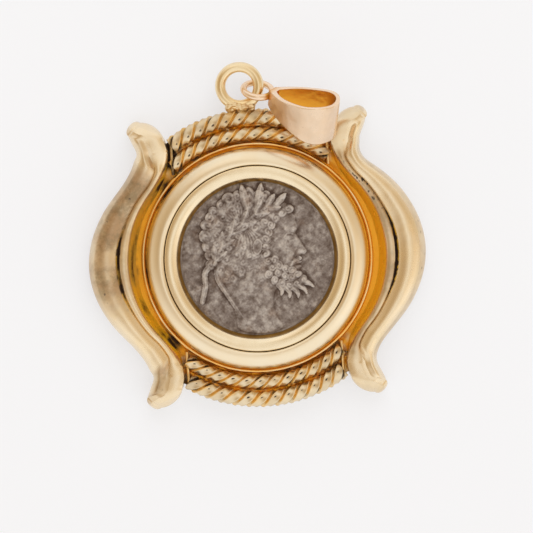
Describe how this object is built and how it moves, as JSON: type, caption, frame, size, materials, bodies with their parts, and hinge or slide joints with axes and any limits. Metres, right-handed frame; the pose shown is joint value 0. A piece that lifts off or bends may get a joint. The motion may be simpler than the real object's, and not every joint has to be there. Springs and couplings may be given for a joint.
{
  "type": "coin pendant",
  "caption": "Round struck silver coin in a gold pendant frame with scrolled sides, twisted rope bands and a tapered swinging bail.",
  "frame": {"origin": "middle of the box, at the plane that the flat back lies in", "axes": "+Z out of the coin's face, +Y to the pendant's top where the wire loop is, +X to the viewer's right"},
  "size_m": [0.036, 0.037, 0.0091],
  "materials": {
    "gold": "polished cast gold with dark patina in the recesses",
    "polished_gold": "high polish gold",
    "silver": "struck and worn silver with a grey-brown crust",
    "rose_gold": "satin rose gold"
  },
  "bodies": {
    "pendant": {"frame": "gold", "bezel": "polished_gold", "coin": "silver"},
    "bail": {"bail": "rose_gold"}
  },
  "joints": [
    {"name": "bail_swing", "type": "hinge", "parent": "pendant", "child": "bail", "pos_m": [0.00139, 0.01537, 0.00252], "axis": [-0.1603, -0.8551, -0.4931], "range_deg": [0, 100]}
  ]
}
